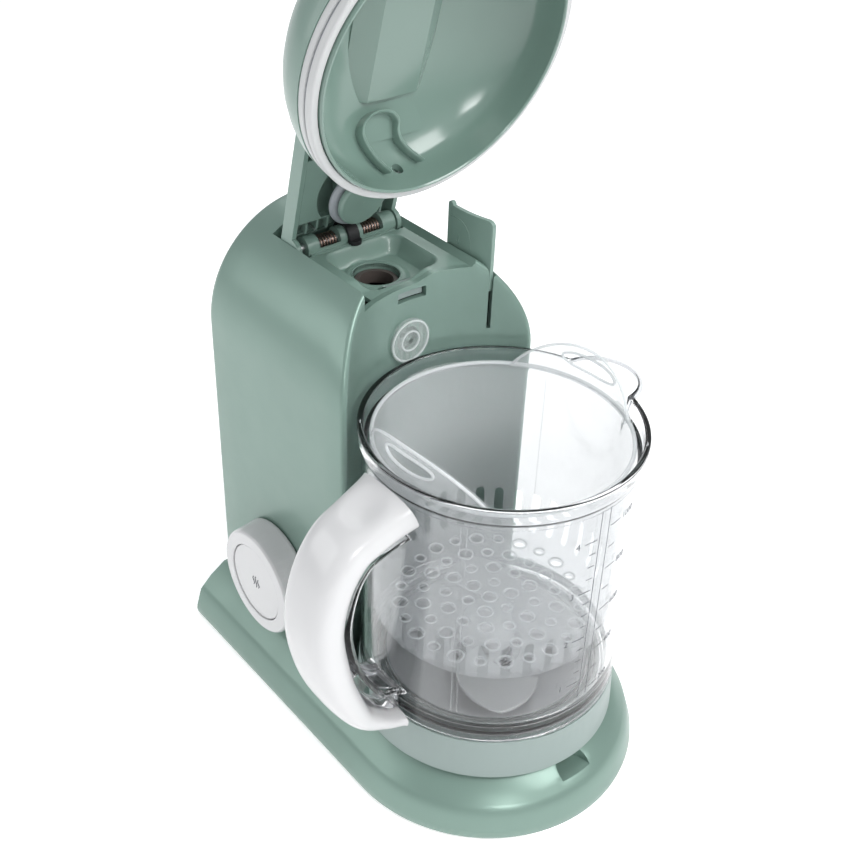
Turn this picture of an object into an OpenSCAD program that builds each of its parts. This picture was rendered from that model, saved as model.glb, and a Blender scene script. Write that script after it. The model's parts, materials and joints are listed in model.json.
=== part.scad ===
// Baby food maker: steam cooker and blender on one base.
// Frame: the bowl and drive axis is x = y = 0 and the ground is z = 0.
// +X points away from the tower, -Y is the side of the knob, +Z is up.
// The lid is drawn open. The closed lid is the same lid before open_lid() turns it.

/* [Base] */
// Half of the widest part of the skirt
skirt_half_w = 71; // [69:0.5:74]
// Height of the flat top of the base
base_h = 27; // [25:0.5:29]
// Distance from the bowl axis to the tail of the machine
tail = 143.5; // [140:0.5:150]
// Wall thickness of the moulded housings
wall = 2.6; // [2.2:0.1:3]
// How far the rubber feet lift the skirt
foot_lift = 1.2; // [0.8:0.1:1.6]

/* [Drive] */
// Outer radius of the bowl seat where it meets the base
seat_r = 59; // [58:0.5:60]
// Height of the rim that the bowl stands on
seat_top = 47.7; // [47:0.1:48]
// Radius of the motor can
motor_r = 30; // [26:1:34]
// Radius of the motor shaft
shaft_r = 3; // [2.5:0.1:3.5]

/* [Bowl] */
// Outer radius of the clear bowl
bowl_r = 57.5; // [57:0.1:57.8]
// Wall thickness of the bowl
bowl_wall = 2.7; // [2.4:0.1:2.9]
// Height of the bowl rim
bowl_top = 172.6; // [172:0.1:173]
// How far the handle stands out from the bowl axis
grip_reach = 94; // [92:0.5:96]
// Half width of the grip
grip_half_w = 14; // [12:0.5:16]
// Reach of the spout from the bowl axis
spout_reach = 72; // [70:0.5:74]

/* [Basket] */
// Outer radius of the basket rim
basket_r = 54.1; // [53.5:0.1:54.2]
// Height of the basket rim
basket_top = 168; // [167.5:0.1:168.5]
// Height of the underside of the basket floor
basket_floor = 77; // [76:0.5:80]
// Height of the top of the two lifting tabs
tab_top = 184.5; // [182:0.5:185]

/* [Tower] */
// Half width of the tower, which is also the radius of its arched top
tower_r = 52.1; // [51:0.1:53]
// Height of the centre of the arched top
arch_z = 170.4; // [168:0.1:172]
// Radius of the hollow face that the bowl stands in
face_r = 62.7; // [62.5:0.1:63.5]
// Radius of the rounded edge at the tail
tail_round = 4.5; // [3:0.5:6]
// Height of the deck under the lid arm
deck_z = 209.6; // [209:0.1:210]

/* [Lid] */
// Distance from the bowl axis to the lid hinge
hinge_back = 109.3; // [108:0.1:111]
// Height of the lid hinge
hinge_z = 211.3; // [210.5:0.1:212]
// How far the lid is drawn open
lid_open = 75; // [0:5:75]
// Outer radius of the lid
lid_r = 60.2; // [59.5:0.1:60.2]
// Height of the top of the closed lid
lid_top = 222.5; // [220:0.5:224]
// Half width of the lid arm
arm_half_w = 27.8; // [26:0.1:27.8]

/* [Controls] */
// Distance of the knob centre from the bowl axis
knob_back = 90.8; // [88:0.2:94]
// Height of the knob centre
knob_z = 56.5; // [56:0.5:60]
// Radius of the knob where it meets the tower
knob_r = 27.6; // [26:0.2:28]
// How far the knob stands out
knob_out = 14.2; // [12:0.2:16]
// Radius of the start button in the knob
button_r = 19.2; // [18:0.2:20]
// Height of the top edge of the raised lock tab
lock_top = 229.8; // [228:0.2:231]
// Travel of the lock tab
lock_travel = 16; // [12:1:16]

/* [Hidden] */
$fn = 96;
gap = 0.3;
fit = 0.05;
hinge_x = -hinge_back;
filler_x = -85.5;
filler_z = 202;
bowl_bottom = seat_top + gap;
bowl_in = bowl_r - bowl_wall;
bowl_floor = 50;
rim_in = 56.6;
hub_top = 61;
rim_outside = [[bowl_r, 164.5], [58.6, 165.4], [59.2, 168], [59.2, bowl_top - 0.5],
    [58.7, bowl_top]];
arm_r = lid_top - hinge_z;
arm_floor = 212;
arm_dome_r = 130;
valve_z = 180.5;
valve_r = 10.3;
lock_y = 32.4;
lock_thick = 2;
lock_x0 = -77.5;
lock_x1 = -52;
lock_foot = 197;
lid_split_z = 188;
tab_r = 53.3;
tongue_r = 64.6;
plug_foot = 202.6;
screw_r = 1.5;
arch_steps = 14;
grip_path = [[-57, 159], [-71, 153.5], [-82, 147.5], [3.5 - grip_reach, 133],
    [-grip_reach, 112], [5 - grip_reach, 86], [-77, 63], [-66, 56], [-57, 54]];
core_path = [[-57, 148], [-66.5, 144.5], [-74.8, 140.5], [13 - grip_reach, 130],
    [10 - grip_reach, 112], [14.5 - grip_reach, 89.5], [-69.5, 69.5], [-62, 65], [-57, 63.5]];
FEET = [[0, 0], [48, 30], [48, -30], [-128, 46], [-128, -46]];
BASE_SCREWS = [[-104, 58], [-104, -58], [-40, 58], [-40, -58], [54, 12], [54, -12]];

green = [0.56, 0.68, 0.61];
seat_green = [0.52, 0.63, 0.60];
white = [0.94, 0.94, 0.93];
pale_seal = [0.84, 0.85, 0.84];
clear = [0.86, 0.91, 0.92, 0.35];
milky = [0.92, 0.94, 0.94, 0.6];
steel = [0.75, 0.76, 0.77];
dark = [0.12, 0.12, 0.13];

// ---------- shared shapes ----------

// A rectangle with exact round corners
module round_rect(x0, x1, y0, y1, r) {
    translate([x0 + r, y0]) square([x1 - x0 - 2 * r, y1 - y0]);
    translate([x0, y0 + r]) square([x1 - x0, y1 - y0 - 2 * r]);
    for (x = [x0 + r, x1 - r], y = [y0 + r, y1 - r]) translate([x, y]) circle(r);
}

// A box given by its two corners
module box(a, b) {
    translate(a) cube(b - a);
}

// A cylinder along X
module rod_x(x0, x1, r) {
    translate([x0, 0, 0]) rotate([0, 90, 0]) cylinder(h = x1 - x0, r = r);
}

// A cylinder along Y
module rod_y(y0, y1, r) {
    translate([0, y0, 0]) rotate([-90, 0, 0]) cylinder(h = y1 - y0, r = r);
}

// An outline in X and Z, given a width along Y
module side_slab(y0, y1) {
    translate([0, y1, 0]) rotate([90, 0, 0]) linear_extrude(y1 - y0) children();
}

// An outline in Y and Z, given a length along X
module end_slab(x0, x1) {
    translate([x0, 0, 0]) rotate([90, 0, 90]) linear_extrude(x1 - x0) children();
}

// A flat ring or tube
module tube(z0, z1, r_out, r_in) {
    translate([0, 0, z0]) difference() {
        cylinder(h = z1 - z0, r = r_out);
        translate([0, 0, -1]) cylinder(h = z1 - z0 + 2, r = r_in);
    }
}

// Turns the closed lid about the hinge to where it is drawn
module open_lid() {
    translate([hinge_x, 0, hinge_z]) rotate([0, -lid_open, 0])
        translate([-hinge_x, 0, -hinge_z]) children();
}

module at_hinge() {
    translate([hinge_x, 0, hinge_z]) children();
}

// Local +Z points out of the knob side of the tower
module at_knob() {
    translate([-knob_back, -tower_r, knob_z]) rotate([90, 0, 0]) children();
}

// Half of the base in section: across, and up
module skirt_section() {
    polygon([[0, foot_lift], [skirt_half_w - 0.5, foot_lift], [skirt_half_w, 3.5],
        [skirt_half_w - 0.3, 6], [skirt_half_w - 3.2, 15.4], [skirt_half_w - 5.2, 17.4],
        [skirt_half_w - 9.5, 21.5], [54, base_h - 0.6], [53, base_h], [0, base_h]]);
}

module skirt_hollow() {
    polygon([[0, -1], [skirt_half_w - 3.4, -1], [skirt_half_w - 3.4, 5],
        [skirt_half_w - 8.6, 16], [51, base_h - 3], [0, base_h - 3]]);
}

// A section swept round the bowl end and back along the body to x0
module stadium(x0) {
    rotate([0, 0, -90]) rotate_extrude(angle = 180) children();
    end_slab(x0, 0) {
        children();
        mirror([1, 0]) children();
    }
}

// ---------- base ----------

module base_shell() {
    color(green) difference() {
        union() {
            difference() {
                stadium(-tail) skirt_section();
                difference() {
                    stadium(-tail + wall) skirt_hollow();
                    translate([61, 0, 17]) cylinder(h = 12, r = 10.6);
                }
            }
            for (p = BASE_SCREWS) translate([p[0], p[1], 4]) cylinder(h = 15, r = 4);
        }
        for (p = BASE_SCREWS) translate([p[0], p[1], 3]) cylinder(h = 12, r = screw_r);
        // finger scoop beside the bowl seat
        translate([61, 0, 19.5]) cylinder(h = 12, r = 8.3);
        // ways through for the drive and the wiring
        translate([0, 0, base_h - 5]) cylinder(h = 10, r = motor_r + 4);
        box([-132, -42, base_h - 5], [-72, 42, base_h + 5]);
    }
}

module base_plate() {
    inset = skirt_half_w - 3.8;
    color(green) difference() {
        union() {
            translate([0, 0, foot_lift]) cylinder(h = 2.4, r = inset);
            box([-tail + 3, -inset, foot_lift], [0, inset, foot_lift + 2.4]);
        }
        for (p = FEET) translate([p[0], p[1], 0]) cylinder(h = 2.6, r = 8 + fit);
        for (p = BASE_SCREWS) translate([p[0], p[1], 0]) {
            cylinder(h = 2.4, r = 3.3);
            cylinder(h = 6, r = screw_r + 0.2);
        }
    }
}

module rubber_feet() {
    color(dark) for (p = FEET) translate([p[0], p[1], 0]) cylinder(h = 2.6, r = 8);
}

module base_screws() {
    color(steel) for (p = BASE_SCREWS) translate([p[0], p[1], 1.4]) {
        cylinder(h = 1, r = 3);
        cylinder(h = 12, r = screw_r);
    }
}

// ---------- drive ----------

module seat_ring() {
    color(seat_green) rotate_extrude() polygon([[seat_r, base_h], [seat_r - 1, seat_top - 0.5],
        [seat_r - 1.5, seat_top], [51, seat_top], [50.2, seat_top - 0.7], [50.2, 43], [17, 43],
        [17, 38], [19, 38], [19, 41], [52.4, 41], [52.4, 45.4], [56, 45.4], [56.6, base_h]]);
}

module motor_mount() {
    color(dark) tube(3.6, 6, motor_r - 4, 12);
}

module motor() {
    color(steel) difference() {
        union() {
            translate([0, 0, 6]) cylinder(h = 28, r = motor_r);
            translate([0, 0, 34]) cylinder(h = 3, r = 12);
        }
        translate([0, 0, 10]) cylinder(h = 30, r = shaft_r + fit);
    }
}

module motor_shaft() {
    color(steel) translate([0, 0, 10.2]) cylinder(h = 33, r = shaft_r);
}

// Four driving lugs on a hub
module lugs(r_hub, r_tip, half_w, z0, z1) {
    translate([0, 0, z0]) cylinder(h = z1 - z0, r = r_hub);
    for (a = [0:90:270]) rotate([0, 0, a]) box([0, -half_w, z0], [r_tip, half_w, z1]);
}

module drive_coupler() {
    color(dark) difference() {
        union() {
            translate([0, 0, 38]) cylinder(h = 2.6, r = 9);
            lugs(5.4, 8, 1.6, 40.6, 45.6);
        }
        translate([0, 0, 37]) cylinder(h = 7.2, r = shaft_r);
    }
}

module driven_coupler() {
    color(white) difference() {
        translate([0, 0, 41.4]) cylinder(h = 6, r = 10.8);
        lugs(5.8, 8.4, 2, 40, 46);
        translate([0, 0, 45]) cylinder(h = 5, r = 4);
    }
}

// ---------- tower ----------

// The arched tower, shrunk by t on every side and cut off at the floor height
module tower_form(t, floor_z) {
    r = tower_r - t;
    rd = tail_round - t;
    x0 = -tail + t;
    x1 = -20 - t;
    translate([0, 0, arch_z]) rotate([0, 90, 0]) rotate([0, 0, 90]) rotate_extrude(angle = 180)
        union() {
            polygon([[0, x0], [r - rd, x0], [r, x0 + rd], [r, x1], [0, x1]]);
            translate([r - rd, x0 + rd]) circle(rd);
        }
    translate([0, 0, floor_z]) linear_extrude(arch_z - floor_z) union() {
        translate([x0 + rd, -r]) square([x1 - x0 - rd, 2 * r]);
        round_rect(x0, x0 + 4 * rd, -r, r, rd);
    }
}

// The opening over the deck, with its sloping far side
module deck_opening(clear_by) {
    end_slab(-123 + clear_by, -30) polygon([[-28.1 + clear_by, 207.3], [28.5 - clear_by, 207.3],
        [28.7 - clear_by, deck_z], [31.2, 213], [31.2, 240], [-28.1 + clear_by, 240]]);
}

// How far the lock tab bends outwards at x
function lock_bend(x) = pow(max(0, x + 70), 2) / 100;

// Plan of the lock tab: straight, then bending outwards. grow widens it all round.
module lock_plan(grow) {
    xs = concat([lock_x0 - grow, -70], [for (x = [-66:4:-54]) x], [lock_x1 + grow]);
    n = len(xs);
    polygon(concat([for (x = xs) [x, lock_y + lock_bend(x) - grow]],
        [for (i = [n - 1:-1:0]) [xs[i], lock_y + lock_bend(xs[i]) + lock_thick + grow]]));
}

module tower_shell() {
    color(green) difference() {
        tower_form(0, base_h);
        translate([0, 0, -1]) cylinder(h = 300, r = face_r);
        difference() {
            tower_form(wall, base_h - 1);
            translate([0, 0, -2]) cylinder(h = 300, r = face_r + wall);
        }
        deck_opening(0);
        // hinge end of the opening, down to the tray
        box([-123, -28.1, 196], [-103, 28.5, 214]);
        // knob shaft
        at_knob() translate([0, 0, -10]) cylinder(h = 20, r = 5 + fit);
        // steam outlet
        translate([0, 0, valve_z]) rod_x(-70, -50, 6);
        // latch slot
        box([-70, -6, 199.4], [-50, 8.8, 204.2]);
        // wedge between the deck and the near rim
        end_slab(-67, -50) polygon([[-28.1, 210], [-28.1, 207], [-20.9, 195], [-20.5, 195.6],
            [-20.5, 210]]);
        // slot for the lock tab
        translate([0, 0, lock_foot - lock_travel - 1]) linear_extrude(60) lock_plan(gap);
        // power inlet
        end_slab(-tail - 5, -tail + 10) round_rect(-10, 10, 40, 51, 2);
    }
}

// The tray that the closed lid arm lies on, with the filler dish and the hinge well
module top_deck() {
    color(green) difference() {
        union() {
            box([-122.7, -27.8, deck_z - 2], [-50, 28.1, deck_z]);
            translate([0, 0, 197]) linear_extrude(deck_z - 197)
                round_rect(-103, -65.6, -20, 25, 6);
            box([-122.7, -27.8, 197], [-101, 28.1, deck_z]);
        }
        translate([0, 0, 190]) cylinder(h = 40, r = face_r);
        // dish and filler hole
        translate([0, 0, filler_z]) linear_extrude(20) round_rect(-101, -68, -17, 22, 7);
        translate([filler_x, 0, 190]) cylinder(h = 40, r = 10.3);
        translate([0, 0, 190]) linear_extrude(10) difference() {
            round_rect(-99, -69, -17, 22, 4);
            translate([filler_x, 0]) circle(14);
        }
        // hinge well
        box([-121.2, -26.3 - 1.8, 199], [-103, 26.6 + 1.8, 220]);
        // clearance for the latch tongue and the lock tab
        box([-75, -7.5, 195], [-60, 10.5, 204.8]);
        end_slab(-72, -50) polygon([[-29, 212], [-29, 205], [-20.7, 195], [-20.5, 212]]);
    }
}

module water_tank() {
    color(clear) difference() {
        union() {
            box([-128, -38, 120], [-76, 29, 196]);
            translate([filler_x, 0, 195]) cylinder(h = 4.8, r = 9.4);
        }
        box([-126, -36, 122], [-78, 27, 194]);
        translate([filler_x, 0, 190]) cylinder(h = 12, r = 7.5);
        // heater feed
        translate([-104, 0, 118]) cylinder(h = 8, r = 3);
    }
}

module boiler() {
    color(steel) difference() {
        translate([-104, 0, 96]) cylinder(h = 20, r = 24);
        translate([-104, 0, 98.4]) cylinder(h = 15.2, r = 21.6);
        translate([-104, 0, 110]) cylinder(h = 12, r = 3);
    }
}

module heater_plate() {
    color(dark) translate([-104, 0, 90]) cylinder(h = 5.7, r = 22);
}

module steam_pipe() {
    color(pale_seal) difference() {
        union() {
            translate([-69.6, 0, 105]) cylinder(h = valve_z - 105, r = 3);
            translate([-69.6, 0, valve_z]) sphere(3);
            translate([-69.6, 0, 105]) sphere(3);
            translate([0, 0, valve_z]) rod_x(-69.6, -67, 3);
            translate([0, 0, 105]) rod_x(-79.8, -69.6, 3);
        }
        translate([-69.6, 0, 105]) cylinder(h = valve_z - 105, r = 1.6);
        translate([0, 0, valve_z]) rod_x(-69.6, -60, 1.6);
        translate([0, 0, 105]) rod_x(-90, -69.6, 1.6);
    }
}

// Soft steam outlet: a plug through the wall with a flange that follows the hollow face
module steam_valve() {
    color(pale_seal) difference() {
        union() {
            intersection() {
                translate([0, 0, valve_z]) rod_x(-70, -60.5, valve_r);
                translate([0, 0, valve_z - 20]) cylinder(h = 40, r = face_r - 0.02);
            }
            translate([0, 0, valve_z]) rod_x(-66.5, -61.5, 6 - 0.02);
        }
        translate([0, 0, valve_z]) rod_x(-75, -55, 1.3);
    }
}

module control_board() {
    color([0.13, 0.4, 0.25]) difference() {
        box([-122, -31, 34], [-62, -29.4, 84]);
        for (x = [-118, -66], z = [38, 80]) translate([x, 0, z]) rod_y(-32, -28, 1.6);
    }
}

module start_switch() {
    color(dark) at_knob() translate([0, 0, -20.9]) cylinder(h = 3.4, r = 4);
}

module interlock_switch() {
    color(dark) box([-75.5, 11, 191], [-69.8, 17, 199.8]);
}

module power_inlet() {
    color(dark) difference() {
        end_slab(-tail + 0.4, -tail + 16) round_rect(-9.8, 9.8, 40.2, 50.8, 1.8);
        end_slab(-tail - 1, -tail + 11) round_rect(-8.4, 8.4, 41.6, 49.4, 3.8);
    }
    color(steel) for (y = [-4.3, 4.3]) translate([0, y, 45.5]) rod_x(-tail + 3, -tail + 12, 1.2);
}

// ---------- hinge ----------

module hinge_barrel() {
    color(green) difference() {
        union() {
            at_hinge() rod_y(-22, 25, 5);
            box([-107, -21, 206.4], [-103, 24, deck_z + 0.2]);
        }
        at_hinge() rod_y(-30, 30, 2.2);
        for (y0 = [-16, 7]) {
            at_hinge() rod_y(y0, y0 + 11, 4.2);
            box([hinge_x - 6, y0, hinge_z], [hinge_x + 6, y0 + 11, hinge_z + 6]);
        }
    }
}

module hinge_pin() {
    color(steel) at_hinge() rod_y(-27.4, 27.4, 2.2);
}

module hinge_springs() {
    color(steel) at_hinge() for (y0 = [-15, 8], i = [0:5]) translate([0, y0 + 0.8 + i * 1.5, 0])
        rotate([90, 0, 0]) rotate_extrude() translate([3.3, 0]) circle(r = 0.5, $fn = 16);
}

module hinge_clip() {
    color(dark) difference() {
        union() {
            at_hinge() rod_y(-1.5, 4, 6.6);
            box([-104, -1, 210], [-102.8, 3.4, 211.6]);
            translate([-102.8, 1.2, deck_z + 0.02]) cylinder(h = 1.9, r = 3);
        }
        at_hinge() rod_y(-5, 8, 5.02);
        box([-125, -5, 195], [-107, 8, hinge_z]);
        box([-109.3, -5, 195], [-101.8, 8, 210]);
    }
}

// ---------- lock ----------

module lock_tab() {
    color(green) difference() {
        union() {
            translate([0, 0, lock_foot]) linear_extrude(lock_top - lock_foot) lock_plan(0);
            // rounded ear at the back corner
            translate([-75.9, 0, lock_top]) rod_y(lock_y, lock_y + lock_thick, 1.6);
        }
        // rounded front corner
        translate([-55, 0, lock_top - 3]) difference() {
            box([0, 25, 0], [8, 45, 4]);
            rod_y(24, 46, 3);
        }
    }
}

module latch_tongue() {
    color(seat_green) intersection() {
        box([-74, -5.4, 200], [-50, 8.2, 203.6]);
        tube(200, 203.6, tongue_r + 8.4, tongue_r);
    }
}

// ---------- lid, drawn closed and then turned open ----------

// Height of the dome over radius r, for a dome that starts at radius r0 and height z0
function dome_z(r, r0, z0, top) = z0 + (top - z0) * sqrt(max(0, 1 - r * r / (r0 * r0)));

module dome_section(r0, z0, top) {
    arc = [for (i = [0:arch_steps]) let(r = r0 * cos(90 * i / arch_steps))
        [r, dome_z(r, r0, z0, top)]];
    polygon(concat([[0, z0]], arc));
}

module dome_form() {
    rotate_extrude() dome_section(lid_r, 180.6, lid_top);
}

// The part of the arm that the lid shell is cut from
module arm_form(inset) {
    w = arm_half_w - inset;
    intersection() {
        side_slab(-w, w) union() {
            translate([hinge_x, hinge_z]) circle(arm_r - inset);
            translate([hinge_x, arm_floor]) square([hinge_back, 20]);
        }
        translate([0, 0, lid_top - arm_dome_r]) rod_x(-125, 0, arm_dome_r - inset);
        // the hinge end is kept only behind and above the pin
        side_slab(-w, w) union() {
            translate([hinge_x, hinge_z]) circle(5.6);
            translate([hinge_x, hinge_z]) rotate(8) translate([-20, 0]) square([20, 20]);
            translate([hinge_x, hinge_z + 0.7]) square([hinge_back, 20]);
        }
    }
}

// Dome, band, arm and neck as one form
module lid_form() {
    difference() {
        union() {
            dome_form();
            tube(173.4, 181, 58, 56.5);
            arm_form(0);
            // neck between the arm and the dome
            intersection() {
                box([-70, -arm_half_w, 195], [-30, arm_half_w, 214]);
                translate([0, 0, 190]) cylinder(h = 30, r = face_r - 0.5);
            }
        }
        // inside of the dome
        rotate_extrude() dome_section(lid_r - 2.6, 180, lid_top - 2.4);
        translate([0, 0, 170]) cylinder(h = 12, r = 56.5);
        // inside of the arm, between the hinge and the neck
        difference() {
            arm_form(2.2);
            dome_form();
        }
        box([hinge_x, -25.6, 205], [-64, 25.6, 214.2]);
        at_hinge() rod_y(-25.6, 25.6, 9);
        // bore for the pin
        at_hinge() rod_y(-40, 40, 2.2 + fit);
        // keeper for the latch tongue
        box([-66, -8, 198.6], [-57.4, 11, 205]);
        // steam way
        translate([0, 0, 184]) rod_x(-66, -52, 2.2);
    }
}

module lid_shell() {
    color(green) open_lid() intersection() {
        lid_form();
        box([-200, -100, lid_split_z], [100, 100, 300]);
    }
}

// The lower ring of the lid, a moulding of its own
module lid_rim() {
    color(green) open_lid() intersection() {
        lid_form();
        translate([0, 0, lid_split_z - 20]) cylinder(h = 20, r = 65);
    }
}

module lid_liner() {
    color(green) open_lid() difference() {
        rotate_extrude() polygon([[55.1, 171.4], [56.2, 171.4], [56.2, 186.5], [41, 198.6],
            [20, 206.4], [0, 208.4], [0, 207.1], [20, 205], [39.5, 197.8], [54.8, 185.6],
            [55.1, 184]]);
        translate([0, 0, 183]) rod_x(-66, -50, 2.2);
    }
}

module rim_gasket() {
    color(pale_seal) open_lid() tube(172.9, 176.4, 59.7, 58);
}

module steam_gasket() {
    color(pale_seal) open_lid() tube(177.4, 180.4, 59.8, 58);
}

module arm_panel() {
    color(green) open_lid() difference() {
        box([-97, -25.4, 212.4], [-64.2, 25.4, 214]);
        translate([filler_x, 0, 210]) cylinder(h = 6, r = 17);
    }
}

module tank_plug() {
    color(green) open_lid() {
        translate([filler_x, 0, plug_foot]) cylinder(h = 3.4, r = 11.6);
        translate([filler_x, 0, plug_foot]) cylinder(h = 219.6 - plug_foot, r = 5);
    }
}

module plug_seal() {
    color(pale_seal) open_lid() translate([filler_x, 0, 0])
        tube(plug_foot + 3.4, plug_foot + 6.6, 14.2, 5);
}

// ---------- knob and start button ----------

module knob() {
    color(white) at_knob() difference() {
        rotate_extrude() polygon([[5, 0.4], [knob_r - 0.4, 0.4], [knob_r, 1.2],
            [knob_r - 0.4, 4], [knob_r - 1.3, knob_out - 1], [knob_r - 2.2, knob_out],
            [button_r + 0.3, knob_out], [button_r + 0.3, 3.4], [5, 3.4]]);
    }
}

module knob_shaft() {
    color(white) at_knob() tube(-14, 3.4, 5, 2.6);
}

module knob_clip() {
    color(steel) at_knob() tube(-13, -12, 7, 5);
}

module knob_spring() {
    color(steel) at_knob() for (i = [0:4]) translate([0, 0, -4.4 - i * 1.6])
        rotate_extrude() translate([7, 0]) circle(r = 0.55, $fn = 16);
}

module start_button() {
    color(white) at_knob() translate([0, 0, knob_out - 3]) cylinder(h = 2.4, r = button_r);
}

module button_stem() {
    color(white) at_knob() translate([0, 0, -15]) cylinder(h = knob_out + 12, r = 2.5);
}

module button_spring() {
    color(steel) at_knob() for (i = [0:2]) translate([0, 0, 4.2 + i * 1.7])
        rotate_extrude() translate([8, 0]) circle(r = 0.6, $fn = 16);
}

// ---------- bowl ----------

// Axis of the spout leans outwards from the wall
module spout_form(r) {
    lean = 20;
    y_top = spout_reach - 13;
    translate([0, y_top, bowl_top]) rotate([-lean, 0, 0]) translate([0, 0, -60])
        cylinder(h = 80, r = r);
}

// Way through the spout
module spout_bore() {
    intersection() {
        spout_form(10.9);
        box([-30, 40, 142], [30, 90, 190]);
    }
}

// The part of the spout that stands out from the wall
module bowl_spout() {
    color(clear) difference() {
        intersection() {
            spout_form(13);
            box([-30, 40, 140], [30, 90, bowl_top - 0.2]);
        }
        spout_bore();
        rotate_extrude() polygon(concat([[0, 130], [bowl_r, 130]], rim_outside, [[0, bowl_top]]));
    }
}

module bowl() {
    color(clear) difference() {
        rotate_extrude() polygon(concat([[bowl_r + 0.3, bowl_bottom], [bowl_r + 0.3, 49.5],
            [bowl_r, 51]], rim_outside, [[57.1, bowl_top], [rim_in, bowl_top - 0.5],
            [rim_in, 165.4], [bowl_in, 163.6], [bowl_in, 57.5], [51, 53.5], [10, 53.5], [9, 55],
            [9, hub_top], [6, hub_top], [6, 48.2], [12, 48.2], [12, 44], [15.5, 44],
            [15.5, bowl_floor], [46.5, bowl_floor], [46.5, 43.5], [49.6, 43.5],
            [49.6, bowl_floor], [55, bowl_floor], [55, bowl_bottom]]));
        spout_bore();
        translate([0, 0, 135]) cylinder(h = 30, r = bowl_in);
        translate([0, 0, 164]) cylinder(h = 30, r = rim_in);
    }
}

// Point on the smooth curve through a list of points
function curve(p, i, t) = let(a = p[max(i - 1, 0)], b = p[i], c = p[i + 1],
    d = p[min(i + 2, len(p) - 1)])
    0.5 * (2 * b + (c - a) * t + (2 * a - 5 * b + 4 * c - d) * t * t
        + (3 * b - a - 3 * c + d) * t * t * t);

function smooth_path(p, n) = [for (i = [0:len(p) - 2], k = [0:n - 1]) curve(p, i, k / n),
    p[len(p) - 1]];

function unit(v) = v / norm(v);

// Direction of travel at each point of a path
function heading(p, i) = unit(p[min(i + 1, len(p) - 1)] - p[max(i - 1, 0)]);

// A bar with a rounded section that follows a path in the plane x = 0
module swept_bar(path, half_w, half_t) {
    n = 20;
    last = len(path) - 1;
    section = [for (k = [0:n - 1]) let(a = 360 * k / n, c = cos(a), s = sin(a))
        [sign(c) * pow(abs(c), 0.7), sign(s) * pow(abs(s), 0.7)]];
    rings = [for (i = [0:last]) let(h = heading(path, i), side = [h[1], -h[0]],
        flare = 1 + 0.17 * pow(abs(2 * i / last - 1), 6)) for (q = section)
        let(p = path[i] - side * q[1] * half_t) [q[0] * half_w * flare, p[0], p[1]]];
    sides = [for (i = [0:last - 1], k = [0:n - 1]) let(a = i * n, b = a + n, m = (k + 1) % n)
        [a + k, a + m, b + m, b + k]];
    polyhedron(rings, concat(sides, [[for (k = [n - 1:-1:0]) k]],
        [[for (k = [0:n - 1]) last * n + k]]));
}

module handle() {
    color(white) difference() {
        swept_bar(smooth_path(grip_path, 4), grip_half_w, 8.6);
        translate([0, 0, 30]) cylinder(h = 150, r = bowl_r + 0.02);
    }
}

// Clear rib of the bowl moulding along the inside of the grip
module handle_core() {
    color(clear) difference() {
        swept_bar(smooth_path(core_path, 3), grip_half_w - 3, 1);
        translate([0, 0, 30]) cylinder(h = 150, r = bowl_r + 0.02);
    }
}

module shaft_bush() {
    color(white) tube(48.4, 58.6, 6, 4 + fit);
}

module shaft_seal() {
    color(dark) tube(58.8, hub_top, 6, 4 + fit);
}

module blade_shaft() {
    color(steel) translate([0, 0, 46.2]) cylinder(h = 22.8, r = 4);
}

module blade_hub() {
    color(white) rotate_extrude() polygon([[9.6, 56], [12.5, 56], [12.2, 60], [10.5, 68],
        [8, 71.4], [4, 73], [0, 73.4], [0, 69], [4, 69], [4, hub_top + 0.4],
        [9.6, hub_top + 0.4]]);
}

// Two crescent arms
module blade() {
    color(steel) for (a = [0, 180]) rotate([0, 0, a]) translate([0, 0, 58]) linear_extrude(1.6)
        difference() {
            translate([22, -12]) rotate(-50) translate([0, 6]) intersection() {
                circle(25);
                translate([3, -14]) circle(25);
            }
            circle(12.45);
            translate([17, 12]) circle(24);
            translate([-60, -60]) square([66, 120]);
        }
}

// ---------- basket ----------

// Outline of a lifting tab, seen along Y, about its own middle
module tab_outline(x_mid, half) {
    translate([x_mid, basket_top - 2]) polygon([for (i = [0:16]) let(a = 180 * i / 16)
        [half * cos(a), (tab_top - basket_top + 2) * pow(sin(a), 0.8)]]);
}

// Both lifting tabs with their finger slots, between two heights
module tab_form(z0, z1) {
    difference() {
        intersection() {
            tube(z0, z1, tab_r, tab_r - 1.5);
            union() {
                side_slab(-60, 0) tab_outline(3, 33);
                side_slab(0, 60) tab_outline(-6, 31);
            }
        }
        side_slab(-60, -40) round_rect(-10, 16.5, 173.4, 180, 3.2);
        side_slab(40, 60) round_rect(-18, 11, 173.4, 180, 3.2);
    }
}

module basket_tabs() {
    color(milky) tab_form(basket_top, tab_top);
}

module basket() {
    color(milky) difference() {
        union() {
            rotate_extrude() polygon([[0, basket_floor], [51.6, basket_floor], [52.6, 78],
                [basket_r, basket_top - 3], [basket_r, basket_top - 0.4],
                [basket_r - 0.4, basket_top], [basket_r - 1.6, basket_top],
                [basket_r - 1.8, basket_top - 0.6], [51, 78.8], [0, 78.8]]);
            // lugs that hang on the step inside the bowl rim
            for (a = [0, 72, 180, 252]) rotate([0, 0, a - 6]) rotate_extrude(angle = 12)
                translate([53.2, 165.8]) square([3, 1.5]);
            tab_form(basket_top - 2, basket_top);
        }
        // drain slots low in the wall
        for (i = [0:35]) rotate([0, 0, i * 10 + 5]) box([48, -1.1, 84], [56, 1.1, 104]);
        // drain holes in the floor
        for (k = [1:4], i = [0:6 * k - 1]) rotate([0, 0, i * 60 / k + k * 7])
            translate([k * 11, 0, basket_floor - 1]) cylinder(h = 4, r = 1.8, $fn = 24);
        translate([0, 0, basket_floor - 1]) cylinder(h = 4, r = 1.8, $fn = 24);
    }
}

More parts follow.
